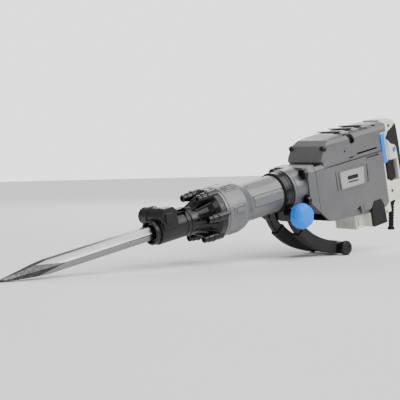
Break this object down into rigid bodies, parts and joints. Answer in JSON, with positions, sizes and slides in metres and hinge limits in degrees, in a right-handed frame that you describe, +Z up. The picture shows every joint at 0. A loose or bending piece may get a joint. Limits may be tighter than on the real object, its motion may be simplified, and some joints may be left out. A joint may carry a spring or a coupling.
{
  "type": "electric jackhammer",
  "caption": "Electric demolition hammer: hex chisel in a cross-pin holder, bolted front cover, barrel, swivelling side handle with clamp knob, motor body and D-shaped rear handle with trigger.",
  "frame": {"origin": "on the ground, under the middle of the outer box of the tool as it lies at rest on its chisel tip and side-handle end caps", "axes": "+X along the ground towards the chisel tip, +Y to the tool's left (the clamp knob side), +Z up; the tool axis points about 12 degrees below +X"},
  "size_m": [1.1164, 0.1486, 0.3202],
  "materials": {
    "grey_casting": "cast aluminium under satin mid-grey paint",
    "light_plate": "plain light grey plate",
    "cream_plastic": "satin off-white moulded plastic",
    "black_plastic": "fine-grained black moulding",
    "black_casting": "black coated casting",
    "black_rubber": "matt black rubber",
    "blue_plastic": "satin sky blue plastic",
    "bright_steel": "ground bright steel",
    "dark_steel": "blackened steel",
    "rotor_metal": "laminated core with copper windings"
  },
  "bodies": {
    "machine": {"tool_holder": "black_casting", "chisel_bushing": "dark_steel", "front_cover": "black_casting", "cover_bolt_1": "dark_steel", "cover_bolt_2": "dark_steel", "cover_bolt_3": "dark_steel", "cover_bolt_4": "dark_steel", "cover_bolt_5": "dark_steel", "cover_bolt_6": "dark_steel", "barrel": "grey_casting", "barrel_ring": "black_rubber", "cylinder_liner": "bright_steel", "crank_bearing": "bright_steel", "stator": "dark_steel", "motor_bearing_top": "bright_steel", "motor_bearing_bottom": "bright_steel", "carbon_brush_left": "black_plastic", "carbon_brush_right": "black_plastic", "front_housing": "grey_casting", "housing_screw_1": "dark_steel", "housing_screw_2": "dark_steel", "housing_screw_3": "dark_steel", "housing_screw_4": "dark_steel", "body_shell_left": "grey_casting", "body_shell_right": "grey_casting", "nameplate_left": "light_plate", "nameplate_right": "light_plate", "gear_cover": "grey_casting", "lower_cover": "cream_plastic", "rubber_pad_left": "black_rubber", "rubber_pad_right": "black_rubber", "tail_cover": "cream_plastic", "accent_strip_left": "blue_plastic", "accent_strip_right": "blue_plastic", "rear_handle_left": "cream_plastic", "rear_handle_right": "cream_plastic", "rear_soft_grip": "black_rubber", "cord_guard": "black_rubber"},
    "chisel": {"chisel": "bright_steel"},
    "retainer": {"retainer_pin": "dark_steel"},
    "anvil": {"anvil": "bright_steel"},
    "ram": {"ram": "bright_steel"},
    "piston": {"piston": "bright_steel"},
    "con_rod": {"con_rod": "dark_steel"},
    "crank": {"crankshaft": "dark_steel"},
    "idler": {"idler_gear": "dark_steel"},
    "armature": {"armature": "rotor_metal"},
    "side_handle": {"handle_clamp_band": "black_casting", "clamp_bolt": "dark_steel", "handle_arm_left": "black_casting", "handle_arm_right": "black_casting", "arm_grip_left": "black_rubber", "arm_grip_right": "black_rubber", "handle_cross_bar": "black_rubber", "end_cap_left": "black_plastic", "end_cap_right": "black_plastic"},
    "knob": {"clamp_knob": "blue_plastic"},
    "trigger": {"trigger": "black_plastic"},
    "lock_button": {"lock_button": "blue_plastic"}
  },
  "joints": [
    {"name": "chisel_slide", "type": "slide", "parent": "machine", "child": "chisel", "axis": [0.9789, 0, -0.2043], "range_m": [-0.025, 0]},
    {"name": "retainer_turn", "type": "hinge", "parent": "machine", "child": "retainer", "pos_m": [0.18633, -0.01365, 0.10753], "axis": [0, 1, 0], "range_deg": [0, 180]},
    {"name": "anvil_slide", "type": "slide", "parent": "machine", "child": "anvil", "axis": [0.9789, 0, -0.2043], "range_m": [-0.01, 0]},
    {"name": "ram_slide", "type": "slide", "parent": "machine", "child": "ram", "axis": [0.9789, 0, -0.2043], "range_m": [-0.03, 0]},
    {"name": "piston_slide", "type": "slide", "parent": "machine", "child": "piston", "axis": [0.9789, 0, -0.2043], "range_m": [-0.044, 0]},
    {"name": "con_rod_swing", "type": "hinge", "parent": "piston", "child": "con_rod", "pos_m": [-0.15202, -0.01365, 0.15056], "axis": [0.2043, 0, 0.9789], "range_deg": [-12, 12]},
    {"name": "armature_spin", "type": "hinge", "parent": "machine", "child": "armature", "pos_m": [-0.38695, -0.01365, 0.19959], "axis": [0.2043, 0, 0.9789], "continuous": true},
    {"name": "idler_spin", "type": "hinge", "parent": "machine", "child": "idler", "pos_m": [-0.32969, -0.01365, 0.18764], "axis": [0.2043, 0, 0.9789], "continuous": true},
    {"name": "crank_spin", "type": "hinge", "parent": "machine", "child": "crank", "pos_m": [-0.2783, -0.01365, 0.17691], "axis": [0.2043, 0, 0.9789], "continuous": true},
    {"name": "side_handle_swivel", "type": "hinge", "parent": "machine", "child": "side_handle", "pos_m": [-0.14492, -0.01365, 0.14908], "axis": [0.9789, 0, -0.2043], "range_deg": [-180, 180]},
    {"name": "knob_turn", "type": "hinge", "parent": "side_handle", "child": "knob", "pos_m": [-0.15795, 0.05835, 0.09766], "axis": [0, 1, 0], "continuous": true},
    {"name": "trigger_pull", "type": "hinge", "parent": "machine", "child": "trigger", "pos_m": [-0.5095, -0.01365, 0.21444], "axis": [0, 1, 0], "range_deg": [0, 7], "stiffness_Nm_per_rad": 2, "springref_deg": -5.73},
    {"name": "lock_button_push", "type": "slide", "parent": "machine", "child": "lock_button", "axis": [0, -1, 0], "range_m": [0, 0.004], "stiffness_N_per_m": 500, "springref_m": -0.002}
  ],
  "couplings": [
    {"joint": "idler_spin", "follows": "armature_spin", "ratio": -0.21875},
    {"joint": "crank_spin", "follows": "armature_spin", "ratio": 0.075721}
  ]
}
